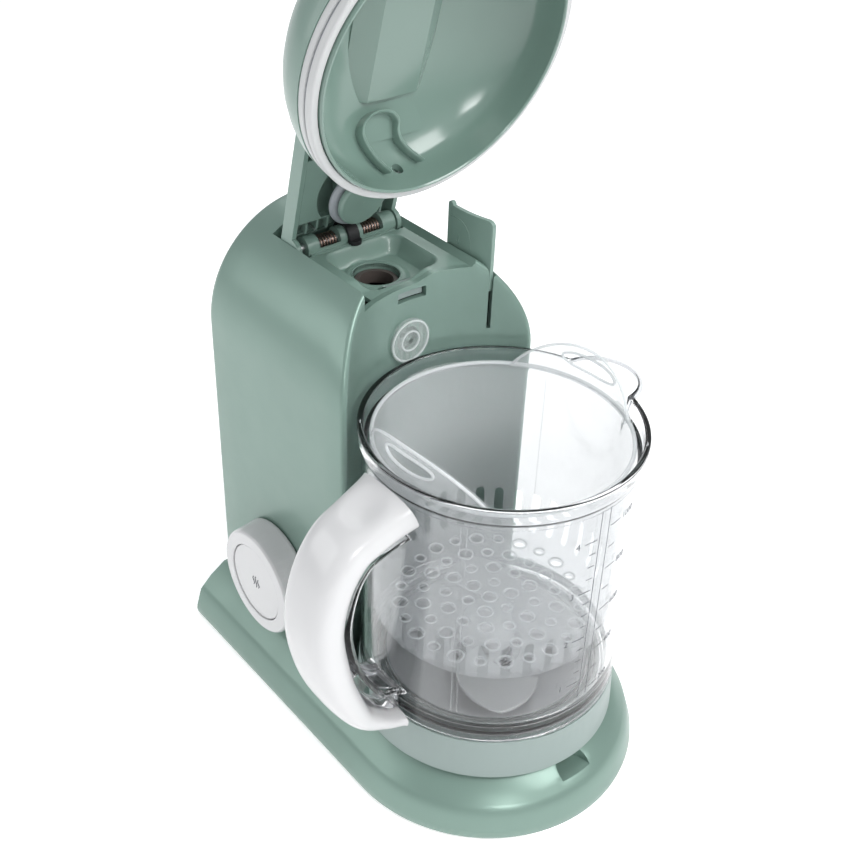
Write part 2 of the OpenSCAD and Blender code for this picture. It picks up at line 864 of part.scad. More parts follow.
base_shell();
base_plate();
rubber_feet();
base_screws();
seat_ring();
motor_mount();
motor();
motor_shaft();
drive_coupler();
tower_shell();
top_deck();
water_tank();
boiler();
heater_plate();
steam_pipe();
steam_valve();
control_board();
start_switch();
interlock_switch();
power_inlet();
hinge_barrel();
hinge_pin();
hinge_springs();
hinge_clip();
lock_tab();
latch_tongue();
lid_shell();
lid_rim();
lid_liner();
rim_gasket();
steam_gasket();
arm_panel();
tank_plug();
plug_seal();
knob();
knob_shaft();
knob_clip();
knob_spring();
start_button();
button_stem();
button_spring();
bowl();
bowl_spout();
handle();
handle_core();
shaft_bush();
shaft_seal();
driven_coupler();
blade_shaft();
blade_hub();
blade();
basket();
basket_tabs();
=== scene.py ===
"""Looks for the baby food maker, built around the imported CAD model.

Shapes below are written in millimetres and turned into metres when a mesh is made.
"""
import json
import math

import bmesh
import bpy
from mathutils import Matrix, Vector

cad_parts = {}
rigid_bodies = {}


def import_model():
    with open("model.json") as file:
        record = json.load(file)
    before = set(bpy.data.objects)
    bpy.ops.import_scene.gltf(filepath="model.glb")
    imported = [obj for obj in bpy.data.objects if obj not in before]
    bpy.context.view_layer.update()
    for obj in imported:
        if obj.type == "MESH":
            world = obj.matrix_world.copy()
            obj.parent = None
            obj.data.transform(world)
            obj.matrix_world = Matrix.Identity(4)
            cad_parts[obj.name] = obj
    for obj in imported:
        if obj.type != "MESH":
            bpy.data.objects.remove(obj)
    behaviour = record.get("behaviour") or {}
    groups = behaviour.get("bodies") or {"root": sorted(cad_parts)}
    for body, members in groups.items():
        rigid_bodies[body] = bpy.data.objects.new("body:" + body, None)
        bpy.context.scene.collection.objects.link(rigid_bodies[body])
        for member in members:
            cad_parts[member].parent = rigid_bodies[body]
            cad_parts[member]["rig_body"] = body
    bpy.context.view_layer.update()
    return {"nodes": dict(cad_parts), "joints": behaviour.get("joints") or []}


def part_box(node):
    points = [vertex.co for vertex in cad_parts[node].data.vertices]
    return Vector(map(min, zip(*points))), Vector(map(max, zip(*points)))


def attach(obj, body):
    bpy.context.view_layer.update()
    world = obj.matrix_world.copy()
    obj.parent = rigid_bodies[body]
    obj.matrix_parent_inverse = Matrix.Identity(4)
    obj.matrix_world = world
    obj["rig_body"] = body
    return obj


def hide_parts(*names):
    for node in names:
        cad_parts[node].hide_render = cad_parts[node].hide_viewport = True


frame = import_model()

MM = 0.001


# ---------------- frame values
def low(node):
    """The node's lowest corner in millimetres."""
    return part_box(node)[0] / MM


def high(node):
    """The node's highest corner in millimetres."""
    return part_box(node)[1] / MM


def joint(name):
    """The record's row for one joint."""
    return next(row for row in frame["joints"] if row["name"] == name)


# each node's material slot; the frame's own flat materials are then dropped
SLOTS = {node: thing.data.materials[0].name for node, thing in frame["nodes"].items()}
for unused in list(bpy.data.materials):
    bpy.data.materials.remove(unused)


# ---------------- shader nodes
WAVES = 0.00001        # depth in metres of the waviness of thin moulded walls
PLASTIC_IOR = 1.45


def new_material(name):
    """A node material, with its tree and its main shader."""
    material = bpy.data.materials.new(name)
    material.use_nodes = True
    shader = material.node_tree.nodes["Principled BSDF"]
    return material, material.node_tree, shader


def noise(tree, scale, detail=2.0):
    """3-D noise in object space, with features about 1/scale metres wide."""
    place = tree.nodes.new("ShaderNodeTexCoord")
    cloud = tree.nodes.new("ShaderNodeTexNoise")
    cloud.inputs["Scale"].default_value = scale
    cloud.inputs["Detail"].default_value = detail
    tree.links.new(place.outputs["Object"], cloud.inputs["Vector"])
    return cloud.outputs["Fac"]


def between(tree, value, lowest, highest):
    """Maps 0.3..0.7 of a noise to lowest..highest."""
    span = tree.nodes.new("ShaderNodeMapRange")
    span.inputs["From Min"].default_value = 0.3
    span.inputs["From Max"].default_value = 0.7
    span.inputs["To Min"].default_value = lowest
    span.inputs["To Max"].default_value = highest
    tree.links.new(value, span.inputs["Value"])
    return span.outputs["Result"]


def tint(tree, value, dark, light):
    """A colour between dark and light, led by a noise."""
    mix = tree.nodes.new("ShaderNodeMix")
    mix.data_type = "RGBA"
    mix.inputs["A"].default_value = (*dark, 1)
    mix.inputs["B"].default_value = (*light, 1)
    tree.links.new(between(tree, value, 0, 1), mix.inputs["Factor"])
    return mix.outputs["Result"]


def bump(tree, shader, height, distance):
    """Relief on the surface, distance metres deep."""
    relief = tree.nodes.new("ShaderNodeBump")
    relief.inputs["Strength"].default_value = 1.0
    relief.inputs["Distance"].default_value = distance
    tree.links.new(height, relief.inputs["Height"])
    tree.links.new(relief.outputs["Normal"], shader.inputs["Normal"])


def shade(colour, factor):
    """The colour made darker or lighter."""
    return tuple(channel * factor for channel in colour)


def plastic(name, colour, rough, spread=0.03, grain=0.000004, coat=0.0, tone=0.025, pearl=0.0):
    """Moulded plastic: slow tone changes, uneven gloss and a fine surface grain.

    tone and spread are the depths of the changes in tone and gloss. grain is in metres. pearl is
    how much it shines like metal.
    """
    material, tree, shader = new_material(name)
    cloud = noise(tree, 14, 3)
    tree.links.new(tint(tree, cloud, shade(colour, 1 - tone), shade(colour, 1 + tone)),
                   shader.inputs["Base Color"])
    gloss = noise(tree, 90, 4)
    tree.links.new(between(tree, gloss, rough - spread, rough + spread), shader.inputs["Roughness"])
    bump(tree, shader, noise(tree, 2600, 2), grain)
    shader.inputs["Metallic"].default_value = pearl
    shader.inputs["Coat Weight"].default_value = coat
    shader.inputs["Coat Roughness"].default_value = 0.12
    return material


def clear_plastic(name):
    """Clear moulded plastic, a little wavy as moulded bowls are."""
    colour, rough = (0.985, 0.99, 1.0), 0.015
    material, tree, shader = new_material(name)
    cloud = noise(tree, 20, 2)
    tree.links.new(tint(tree, cloud, shade(colour, 0.985), colour), shader.inputs["Base Color"])
    tree.links.new(between(tree, noise(tree, 60, 3), rough * 0.4, rough * 1.6),
                   shader.inputs["Roughness"])
    bump(tree, shader, noise(tree, 45, 1), WAVES)
    shader.inputs["Transmission Weight"].default_value = 1.0
    shader.inputs["IOR"].default_value = PLASTIC_IOR
    return material


def milky_plastic(name, colour, cover):
    """Thin milky plastic. cover is the share of what lies behind that each surface hides."""
    rough = 0.25
    material, tree, shader = new_material(name)
    cloud = noise(tree, 30, 3)
    tree.links.new(tint(tree, cloud, shade(colour, 0.97), colour), shader.inputs["Base Color"])
    tree.links.new(between(tree, noise(tree, 70, 3), rough * 0.8, rough * 1.2),
                   shader.inputs["Roughness"])
    bump(tree, shader, noise(tree, 40, 1), WAVES)
    shader.inputs["Alpha"].default_value = cover
    shader.inputs["IOR"].default_value = PLASTIC_IOR
    return material


def metal(name, colour, rough):
    """Plain metal with a slightly uneven shine."""
    material, tree, shader = new_material(name)
    streak = noise(tree, 600, 3)
    tree.links.new(tint(tree, streak, shade(colour, 0.9), colour), shader.inputs["Base Color"])
    tree.links.new(between(tree, streak, rough - 0.08, rough + 0.08), shader.inputs["Roughness"])
    bump(tree, shader, streak, 0.000006)
    shader.inputs["Metallic"].default_value = 1.0
    return material


def board(name):
    """Green circuit board with copper tracks under the lacquer."""
    material, tree, shader = new_material(name)
    place = tree.nodes.new("ShaderNodeTexCoord")
    track = tree.nodes.new("ShaderNodeTexBrick")
    track.inputs["Scale"].default_value = 160
    track.inputs["Color1"].default_value = (0.012, 0.09, 0.035, 1)
    track.inputs["Color2"].default_value = (0.018, 0.12, 0.045, 1)
    track.inputs["Mortar"].default_value = (0.05, 0.2, 0.07, 1)
    tree.links.new(place.outputs["Object"], track.inputs["Vector"])
    tree.links.new(track.outputs["Color"], shader.inputs["Base Color"])
    tree.links.new(between(tree, noise(tree, 200, 2), 0.3, 0.45), shader.inputs["Roughness"])
    bump(tree, shader, track.outputs["Fac"], 0.00003)
    return material


SAGE = (0.195, 0.292, 0.25)
FINE_GRAIN, FINEST_GRAIN = 0.000003, 0.0000015
LOOKS = {material.name: material for material in (
    plastic("green_plastic", SAGE, 0.34, coat=0.25, grain=FINE_GRAIN),
    plastic("green_gloss", shade(SAGE, 0.92), 0.2, coat=0.5, grain=FINEST_GRAIN),
    plastic("grey_green_plastic", (0.25, 0.31, 0.295), 0.42, coat=0.1),
    plastic("white_plastic", (0.62, 0.62, 0.625), 0.26, coat=0.25, grain=FINEST_GRAIN,
            tone=0.006, spread=0.01),
    clear_plastic("clear_plastic"),
    milky_plastic("frosted_plastic", (0.86, 0.89, 0.90), 0.22),
    milky_plastic("frosted_edge", (0.88, 0.91, 0.92), 0.5),
    # grey tint for the clear spout lip: painted shade standing for its shading and outline
    milky_plastic("lip_painted_shade", (0.42, 0.45, 0.48), 0.3),
    plastic("blade_grey", (0.5, 0.51, 0.51), 0.35, pearl=0.35),
    plastic("pale_silicone", (0.55, 0.56, 0.56), 0.42, tone=0.02),
    metal("steel", (0.62, 0.62, 0.63), 0.28),
    plastic("black_rubber", (0.012, 0.012, 0.013), 0.55, grain=0.00001),
    plastic("black_plastic", (0.018, 0.018, 0.02), 0.38, tone=0.1),
    board("circuit_board"),
    metal("copper_steel", (0.34, 0.24, 0.2), 0.3),
    plastic("pearl_green", SAGE, 0.36, coat=0.15, grain=FINE_GRAIN, pearl=0.35),
    # grey of the plug's seal; on the groove rim between the lid's soft rings it is painted shade
    plastic("seal_grey_and_groove_shade", (0.3, 0.32, 0.345), 0.3, tone=0.03),
    milky_plastic("soft_clear", (0.6, 0.68, 0.65), 0.35),
    plastic("tank_brown", (0.09, 0.075, 0.068), 0.35, tone=0.15),
    plastic("mark_grey", (0.1, 0.105, 0.115), 0.5, tone=0.05),
)}


# ---------------- forms
# A form is (corners in millimetres, faces).
def ease(t):
    """0 to 1 with level ends."""
    t = min(1.0, max(0.0, t))
    return t * t * (3 - 2 * t)


def joined(*forms):
    """Several forms as one."""
    corners, faces = [], []
    for more, sides in forms:
        start = len(corners)
        corners += [tuple(c) for c in more]
        faces += [tuple(start + i for i in side) for side in sides]
    return corners, faces


def moved(form, change):
    """The form with change(corner) in place of each corner."""
    return [change(Vector(c)) for c in form[0]], form[1]


def mesh_of(form):
    """A Blender mesh of the form, in metres, with its faces turned outwards."""
    mesh = bpy.data.meshes.new("form")
    mesh.from_pydata([Vector(c) * MM for c in form[0]], [], form[1])
    work = bmesh.new()
    work.from_mesh(mesh)
    bmesh.ops.remove_doubles(work, verts=work.verts, dist=0.000001)
    bmesh.ops.recalc_face_normals(work, faces=work.faces)
    work.to_mesh(mesh)
    work.free()
    return mesh


def loft(rings, closed=False):
    """Skin through rings of equal length. closed joins the last ring to the first."""
    size, count = len(rings[0]), len(rings)
    corners = [tuple(c) for ring in rings for c in ring]
    faces = []
    for a in range(count if closed else count - 1):
        b = (a + 1) % count
        for i in range(size):
            j = (i + 1) % size
            faces.append((a * size + i, a * size + j, b * size + j, b * size + i))
    if not closed:
        faces.append(tuple(range(size))[::-1])
        faces.append(tuple((count - 1) * size + i for i in range(size)))
    return corners, faces


def lathe(profile, steps, warp=None):
    """A closed outline of (radius, height) turned about the z axis. warp moves each corner."""
    rings = []
    for i in range(steps):
        turn = 2 * math.pi * i / steps
        ring = [Vector((r * math.cos(turn), r * math.sin(turn), z)) for r, z in profile]
        rings.append([warp(c, turn) for c in ring] if warp else ring)
    return loft(rings, closed=True)


def rounded(outline, radius, steps=4):
    """A closed 2-D outline with its corners turned into arcs."""
    result = []
    count = len(outline)
    for i in range(count):
        here = Vector(outline[i])
        back, ahead = Vector(outline[i - 1]) - here, Vector(outline[(i + 1) % count]) - here
        reach = min(radius, back.length * 0.45, ahead.length * 0.45)
        start, end = here + back.normalized() * reach, here + ahead.normalized() * reach
        for k in range(steps + 1):
            t = k / steps
            result.append(tuple((1 - t) ** 2 * start + 2 * t * (1 - t) * here + t * t * end))
    return result


def denser(outline, longest):
    """The outline with long edges split, so that a warp bends them."""
    result = []
    for i, (a, b) in enumerate(zip(outline, outline[1:] + outline[:1])):
        parts = max(1, math.ceil((Vector(b) - Vector(a)).length / longest))
        result += [tuple(Vector(a).lerp(Vector(b), k / parts)) for k in range(parts)]
    return result


def spline(points, steps):
    """A smooth curve through the points."""
    points = [Vector(p) for p in points]
    result = []
    for i in range(len(points) - 1):
        a, b = points[max(i - 1, 0)], points[i]
        c, d = points[i + 1], points[min(i + 2, len(points) - 1)]
        for k in range(steps):
            t = k / steps
            result.append(0.5 * (2 * b + (c - a) * t + (2 * a - 5 * b + 4 * c - d) * t * t
                                 + (3 * b - a - 3 * c + d) * t ** 3))
    return result + [points[-1]]


def sweep(path, section, up=(0, 0, 1), closed=False):
    """A 2-D section carried along a path. The section's first axis lies along up."""
    path = [Vector(p) for p in path]
    last = len(path) - 1
    rings = []
    for i, here in enumerate(path):
        if closed:
            ahead = path[(i + 1) % len(path)] - path[i - 1]
        else:
            ahead = path[min(i + 1, last)] - path[max(i - 1, 0)]
        ahead.normalize()
        side = ahead.cross(Vector(up)).normalized()
        top = side.cross(ahead).normalized()
        rings.append([here + top * a + side * b for a, b in section])
    return loft(rings, closed=closed)


def disc(radius, steps):
    """A circle as a closed outline."""
    return [(radius * math.cos(2 * math.pi * k / steps), radius * math.sin(2 * math.pi * k / steps))
            for k in range(steps)]


def slab(outline, low_end, high_end, axis):
    """An outline in the plane across an axis, drawn out between two places on that axis."""
    def corner(p, place):
        flat = list(p)
        flat.insert(axis, place)
        return tuple(flat)
    return loft([[corner(p, low_end) for p in outline], [corner(p, high_end) for p in outline]])


def box_form(low_corner, high_corner):
    """A plain box between two corners."""
    (x0, y0, z0), (x1, y1, z1) = low_corner, high_corner
    return slab([(x0, y0), (x1, y0), (x1, y1), (x0, y1)], z0, z1, 2)


def rod(centre, radius, low_end, high_end, axis, steps=48):
    """A cylinder along an axis. centre has the two other coordinates."""
    outline = [(centre[0] + a, centre[1] + b) for a, b in disc(radius, steps)]
    return slab(outline, low_end, high_end, axis)


def carved(mesh, cutters, action="DIFFERENCE"):
    """The mesh after exact booleans with each cutter form."""
    base = bpy.data.objects.new("base", mesh)
    bpy.context.scene.collection.objects.link(base)
    tools = []
    for form in cutters:
        tool = bpy.data.objects.new("tool", mesh_of(form) if isinstance(form, tuple) else form)
        bpy.context.scene.collection.objects.link(tool)
        step = base.modifiers.new("cut", "BOOLEAN")
        step.operation = action
        step.solver = "EXACT"
        step.object = tool
        tools.append(tool)
    view = bpy.context.evaluated_depsgraph_get()
    result = bpy.data.meshes.new_from_object(base.evaluated_get(view))
    for thing in [base, *tools]:
        bpy.data.objects.remove(thing)
    return result


# ---------------- pieces
def piece(name, mesh, body, look, hides=(), crease=35):
    """Makes a mesh or a form into a piece that rides on a body."""
    if isinstance(mesh, tuple):
        mesh = mesh_of(mesh)
    mesh.name = name
    mesh.materials.clear()
    mesh.materials.append(LOOKS[look])
    mesh.polygons.foreach_set("use_smooth", [True] * len(mesh.polygons))
    mesh.polygons.foreach_set("material_index", [0] * len(mesh.polygons))
    mesh.set_sharp_from_angle(angle=math.radians(crease))
    thing = bpy.data.objects.new(name, mesh)
    bpy.context.scene.collection.objects.link(thing)
    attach(thing, body)
    if hides:
        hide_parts(*hides)
    return thing


def bevelled(thing, width, segments, angle):
    """Rounds a piece's sharp edges."""
    soft = thing.modifiers.new("edges", "BEVEL")
    soft.width = width * MM
    soft.segments = segments
    soft.limit_method = "ANGLE"
    soft.angle_limit = math.radians(angle)
    soft.use_clamp_overlap = True
    soft.harden_normals = True
    return thing


def refined(node, look, width, segments, angle=35):
    """The CAD shape with its facets joined into clean faces and its edges rounded."""
    mesh = frame["nodes"][node].data.copy()
    work = bmesh.new()
    work.from_mesh(mesh)
    bmesh.ops.remove_doubles(work, verts=work.verts, dist=0.000002)
    bmesh.ops.dissolve_limit(work, angle_limit=math.radians(0.5), verts=work.verts,
                             edges=work.edges)
    work.to_mesh(mesh)
    work.free()
    thing = piece(node + "_finish", mesh, frame["nodes"][node]["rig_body"],
                  look, (node,))
    return bevelled(thing, width, segments, angle)


def dress(node, look):
    """Gives a carried-over CAD node its material."""
    mesh = frame["nodes"][node].data
    mesh.materials.clear()
    mesh.materials.append(LOOKS[look])
    mesh.polygons.foreach_set("use_smooth", [True] * len(mesh.polygons))
    mesh.set_sharp_from_angle(angle=math.radians(35))


# ---------------- tower
FACE_R = 62.7          # radius of the hollow face about the bowl axis
TOWER_HALF = high("tower_shell").y
TOWER_TOP = high("tower_shell").z
TOWER_FOOT = low("tower_shell").z
TOWER_TAIL = low("tower_shell").x
ARCH_Z = TOWER_TOP - TOWER_HALF
ARCH_STEPS = 56
TAIL_ROUND, RIM_ROUND = 5, 1.8
WALL = 2.6
DECK_Z = high("top_deck").z
ABOVE = 245            # a height above all that is cut away
OPENING_NEAR, OPENING_FAR, OPENING_BACK = -28.1, 28.5, -123.0
VALVE_Z = (low("steam_valve").z + high("steam_valve").z) / 2


def tower_outline():
    """The arch from foot to foot, as (y, z) with the direction that faces outwards."""
    side = [TOWER_FOOT + (ARCH_Z - TOWER_FOOT) * k / 12 for k in range(12)]
    outline = [(-TOWER_HALF, z, -1, 0) for z in side]
    for k in range(ARCH_STEPS + 1):
        turn = math.pi * k / ARCH_STEPS
        y, z = -TOWER_HALF * math.cos(turn), ARCH_Z + TOWER_HALF * math.sin(turn)
        outline.append((y, z, -math.cos(turn), math.sin(turn)))
    return outline + [(TOWER_HALF, z, 1, 0) for z in reversed(side)]


def tower_row(y, z, out):
    """One line of corners from the tail along the skin to the hollow face."""
    turns = [math.pi / 2 * k / 5 for k in range(6)]
    row = []
    for t in reversed(turns):
        place = Vector((TOWER_TAIL + TAIL_ROUND * (1 - math.sin(t)), y, z))
        row.append(place - out * TAIL_ROUND * (1 - math.cos(t)))
    corner = Vector((-math.sqrt(FACE_R ** 2 - y * y), y, z))
    inward = Vector((-corner.x, -corner.y, 0)).normalized()
    centre = corner - (out + inward) * RIM_ROUND / (1 + out.dot(inward))
    front = [centre + out.slerp(inward, t / turns[-1]) * RIM_ROUND for t in turns]
    return row + [row[-1].lerp(front[0], k / 8) for k in range(1, 8)] + front


def face_lines(rows, corners):
    """Adds the corners of the hollow face between its two rims. Gives each line across it."""
    count, width, across = len(rows), len(rows[0]), 28
    lines = []
    for i in range(count // 2 + 1):
        a, b = rows[i][-1], rows[count - 1 - i][-1]
        line = [i * width + width - 1]
        for k in range(1, across):
            y = a.y + (b.y - a.y) * k / across
            corners.append((-math.sqrt(FACE_R ** 2 - y * y), y, a.z))
            line.append(len(corners) - 1)
        line.append((count - 1 - i) * width + width - 1)
        lines.append(line)
    return lines


def tower_form():
    """The solid arched tower with rounded edges at its tail and round its hollow face."""
    rows = [tower_row(y, z, Vector((0, ny, nz))) for y, z, ny, nz in tower_outline()]
    count, width = len(rows), len(rows[0])
    corners = [tuple(c) for row in rows for c in row]
    faces = [(i * width + j, (i + 1) * width + j, (i + 1) * width + j + 1, i * width + j + 1)
             for i in range(count - 1) for j in range(width - 1)]
    faces.append(tuple(i * width for i in range(count)))
    lines = face_lines(rows, corners)
    for a, b in zip(lines, lines[1:]):
        faces += [(a[k], a[k + 1], b[k + 1], b[k]) for k in range(len(a) - 1)]
    far_row = (count - 1) * width
    faces.append((*range(width), *lines[0][1:-1], *(far_row + j for j in reversed(range(width)))))
    return corners, faces


def front_height(y):
    """Height of the front edge of the deck, lower on the near side."""
    return DECK_Z - 3.2 * (1 - ease((y - 2) / 12))


def deck_plan(y):
    """Where the deck ends at its front."""
    return -math.sqrt((FACE_R + WALL) ** 2 - y * y)


# the notch at the near front corner of the opening
WEDGE = slab([(-28.1, 212), (-28.1, 207.6), (-25.4, 203.5), (-22.2, 199), (-20.9, 195),
              (-20.4, 196), (-20.4, 212)], -68, -50, 0)


def tower_cavity():
    """The hollow inside the tower, under the deck."""
    half = TOWER_HALF - WALL
    across = [half * (2 * k / 40 - 1) for k in range(41)]
    plan = [(TOWER_TAIL + WALL, half), (TOWER_TAIL + WALL, -half)]
    plan += [(deck_plan(y), y) for y in across]
    turns = [math.pi * k / 48 for k in range(49)]
    arch = [(-half * math.cos(t), ARCH_Z + half * math.sin(t)) for t in turns]
    return carved(mesh_of(slab(plan, TOWER_FOOT - 8, DECK_Z - 2.4, 2)),
                  [slab([(-half, 0), *arch, (half, 0)], -160, 0, 0)], "INTERSECT")


def tab_slot():
    """The slot of the lock tab, which bends with the tab towards the hollow face."""
    x0, x1 = low("lock_tab").x - 0.4, high("lock_tab").x + 1.2
    y = low("lock_tab").y - 0.4
    return slab([(x0, y), (-70, y), (-62, y + 0.6), (-57, y + 1.7), (x1, y + 3.6), (x1, y + 6.4),
                 (-57, y + 4.5), (-62, y + 3.4), (-70, y + 2.8), (x0, y + 2.8)], 179, ABOVE, 2)


def inlet_hole():
    """The rounded hole round the mains inlet."""
    (_, y0, z0), (_, y1, z1) = low("power_inlet"), high("power_inlet")
    outline = rounded([(y0, z0), (y1, z0), (y1, z1), (y0, z1)], 1.6)
    return slab(outline, TOWER_TAIL - 5, TOWER_TAIL + 12, 0)


def tower():
    """The tower shell, opened for the deck, the lock tab, the latch, the outlet and the knob."""
    ys = [OPENING_NEAR + (OPENING_FAR - OPENING_NEAR) * k / 24 for k in range(25)]
    pocket = slab([(OPENING_BACK, OPENING_FAR), (OPENING_BACK, OPENING_NEAR)]
                  + [(deck_plan(y), y) for y in ys], 203, ABOVE, 2)
    skyline = [(y, front_height(y)) for y in ys]
    over = slab(skyline + [(31.2, 213), (31.6, ABOVE), (OPENING_NEAR, ABOVE)], OPENING_BACK, -30, 0)
    latch = slab(rounded([(-6, 199.4), (8.8, 199.4), (8.8, 204.2), (-6, 204.2)], 0.6), -70, -50, 0)
    knob_mid = (low("knob") + high("knob")) / 2
    mesh = carved(mesh_of(tower_form()), [
        tower_cavity(), pocket, over, tab_slot(), inlet_hole(), latch, WEDGE,
        rod((0, VALVE_Z), 6.1, -72, -50, 0),
        rod((knob_mid.x, knob_mid.z), 5.4, -60, -40, 1)])
    bevelled(piece("tower", mesh, "base", "pearl_green", ("tower_shell",)),
             0.7, 3, 40)


# ---------------- deck
FILLER = Vector((-85.5, 0))                         # middle of the water filler
FILLER_R = 10.3
DISH, DISH_Z = (-102.4, -67, -18.6, 22.6), 201.4    # round the filler: x, x, y, y and height
WELL, WELL_Z = (-121.4, -102.9, -28, 28.4), 199     # of the hinge
DECK_THICK = 1.9


def inside(x, y, x0, x1, y0, y1, corner):
    """How far a point lies inside a rounded rectangle, negative outside."""
    dx = abs(x - (x0 + x1) / 2) - (x1 - x0) / 2 + corner
    dy = abs(y - (y0 + y1) / 2) - (y1 - y0) / 2 + corner
    return corner - math.hypot(max(dx, 0), max(dy, 0)) - min(max(dx, dy), 0)


def deck_height(x, y):
    """Height of the deck's top over a point."""
    front = ease((x + 76) / 8)
    z = DECK_Z + (front_height(y) - DECK_Z) * front
    dish = ease(inside(x, y, *DISH, 8) / 4.6)
    z += (DISH_Z - z) * dish
    from_hole = math.hypot(x - FILLER.x, y - FILLER.y)
    z += 0.9 * ease((14.6 - from_hole) / 2.2)
    well = ease(inside(x, y, *WELL, 1) / 0.8)
    return z + (WELL_Z - z) * well


def deck_skin():
    """The deck as a grid of top corners over a grid of bottom corners, with a wall round both."""
    columns, lines, gap = 110, 84, 0.05
    top, bottom = [], []
    for j in range(lines + 1):
        y = OPENING_NEAR + gap + (OPENING_FAR - OPENING_NEAR - 2 * gap) * j / lines
        x0, x1 = OPENING_BACK + gap, deck_plan(y) - gap
        for i in range(columns + 1):
            x = x0 + (x1 - x0) * i / columns
            z = deck_height(x, y)
            top.append((x, y, z))
            bottom.append((x, y, z - DECK_THICK))
    wide, size = columns + 1, len(top)
    faces = []
    for j in range(lines):
        for i in range(columns):
            a = j * wide + i
            faces.append((a, a + 1, a + wide + 1, a + wide))
            faces.append((size + a, size + a + wide, size + a + wide + 1, size + a + 1))
    rim = [*range(wide), *(j * wide + columns for j in range(1, lines + 1)),
           *(lines * wide + i for i in reversed(range(columns))),
           *(j * wide for j in reversed(range(1, lines)))]
    faces += [(a, size + a, size + b, b) for a, b in zip(rim, rim[1:] + rim[:1])]
    return top + bottom, faces


def deck():
    """The deck with its filler hole, the notch and the latch's channel, and the filler's collar."""
    mesh = carved(mesh_of(deck_skin()), [
        rod(tuple(FILLER), FILLER_R, 180, 230, 2, 96), WEDGE,
        box_form((-75, -7.5, 198), (-60, 10.5, 204.9))])
    bevelled(piece("deck", mesh, "base", "green_plastic", ("top_deck",), 40),
             0.35, 2, 50)
    collar = lathe(rounded([(FILLER_R, 198.4), (11.6, 198.4), (11.6, 201.9), (11, 202.5),
                            (FILLER_R, 202.4)], 0.3), 96)
    collar = moved(collar, lambda c: c + Vector((FILLER.x, FILLER.y, 0)))
    piece("filler_collar", collar, "base", "green_gloss")


# ---------------- bowl
BOWL_TOP = high("bowl").z
BOWL_R = 57.5
SPOUT_LEAN = 1.1 * math.tan(math.radians(20))  # how far the spout draws in for each mm down
SPOUT_DEPTH = 46
SPOUT_OUTER, SPOUT_INNER = 19.0, 17.2   # radii of the spout's outside and inside
SPOUT_REACH = high("bowl_spout").y


def spout_pull(radius):
    """Moves the wall outwards where a leaning round spout of this radius passes through it."""
    def pull(corner, turn):
        drop = BOWL_TOP - corner.z
        centre = SPOUT_REACH - radius - drop * SPOUT_LEAN
        off = turn - math.pi / 2
        span = radius ** 2 - (centre * math.sin(off)) ** 2
        here, soft = corner.xy.length, 2.0
        if drop > SPOUT_DEPTH or span <= 0 or math.cos(off) < 0 or here < 50:
            return corner
        reach = centre * math.cos(off) + math.sqrt(span)
        more = max(0.0, reach - here)
        more = more * more / (more + soft)
        scale = (here + more) / here
        return Vector((corner.x * scale, corner.y * scale, corner.z))
    return pull


def bowl():
    """The clear bowl with its spout, and the pale sole under its floor."""
    wall = [(9, 61), (6, 61), (6, 48.2), (12, 48.2), (12, 44), (15.5, 44), (15.5, 50),
            (46.5, 50), (46.5, 43.5), (49.6, 43.5), (49.6, 50), (55, 50), (55, 48), (57.8, 48),
            (57.8, 49.6), (57.5, 50.8), (57.5, 164.5), (58.6, 165.4), (59.2, 168),
            (59.2, BOWL_TOP), (56.6, BOWL_TOP), (56.6, 165.4), (54.8, 163.6), (54.8, 57.5),
            (51, 53.5), (10, 53.5)]
    outline = denser(rounded(wall, 0.9, 3), 3.0)
    outer, inner = spout_pull(SPOUT_OUTER), spout_pull(SPOUT_INNER)

    def pull(corner, turn):
        middle = 56.8 if corner.z < 164 else 57.3       # between the wall's two sides
        return (outer if corner.xy.length > middle else inner)(corner, turn)
    form = lathe(outline, 288, pull)
    sole = lathe(rounded([(17, 49.2), (45.6, 49.2), (45.6, 49.85), (17, 49.85)], 0.2, 2), 96)
    piece("bowl_sole", sole, "bowl", "pale_silicone")
    piece("bowl_glass", form, "bowl", "clear_plastic", ("bowl", "bowl_spout"), 50)


def on_bowl(degrees, z, out):
    """A place on the bowl's outside, out millimetres from the wall."""
    turn = math.radians(degrees)
    return ((BOWL_R + out) * math.cos(turn), (BOWL_R + out) * math.sin(turn), z)


def stripe(from_deg, to_deg, z0, z1):
    """A thin printed bar on the bowl's outside."""
    parts = max(1, math.ceil((to_deg - from_deg) / 1.5))
    rings = []
    for k in range(parts + 1):
        turn = from_deg + (to_deg - from_deg) * k / parts
        rings.append([on_bowl(turn, z0, 0.02), on_bowl(turn, z0, 0.09),
                      on_bowl(turn, z1, 0.09), on_bowl(turn, z1, 0.02)])
    return loft(rings)


def label(words, degrees, z, size):
    """Digits printed on the bowl's outside, upright, starting at an angle."""
    text = bpy.data.curves.new("digits", "FONT")
    text.body = words
    text.size = size
    text.align_y = "CENTER"
    text.extrude = 0.03
    holder = bpy.data.objects.new("digits", text)
    bpy.context.scene.collection.objects.link(holder)
    view = bpy.context.evaluated_depsgraph_get()
    flat = bpy.data.meshes.new_from_object(holder.evaluated_get(view))
    corners = [on_bowl(degrees + math.degrees(v.co.x / BOWL_R), z + v.co.y, 0.06 + v.co.z)
               for v in flat.vertices]
    faces = [tuple(face.vertices) for face in flat.polygons]
    bpy.data.objects.remove(holder)
    return corners, faces


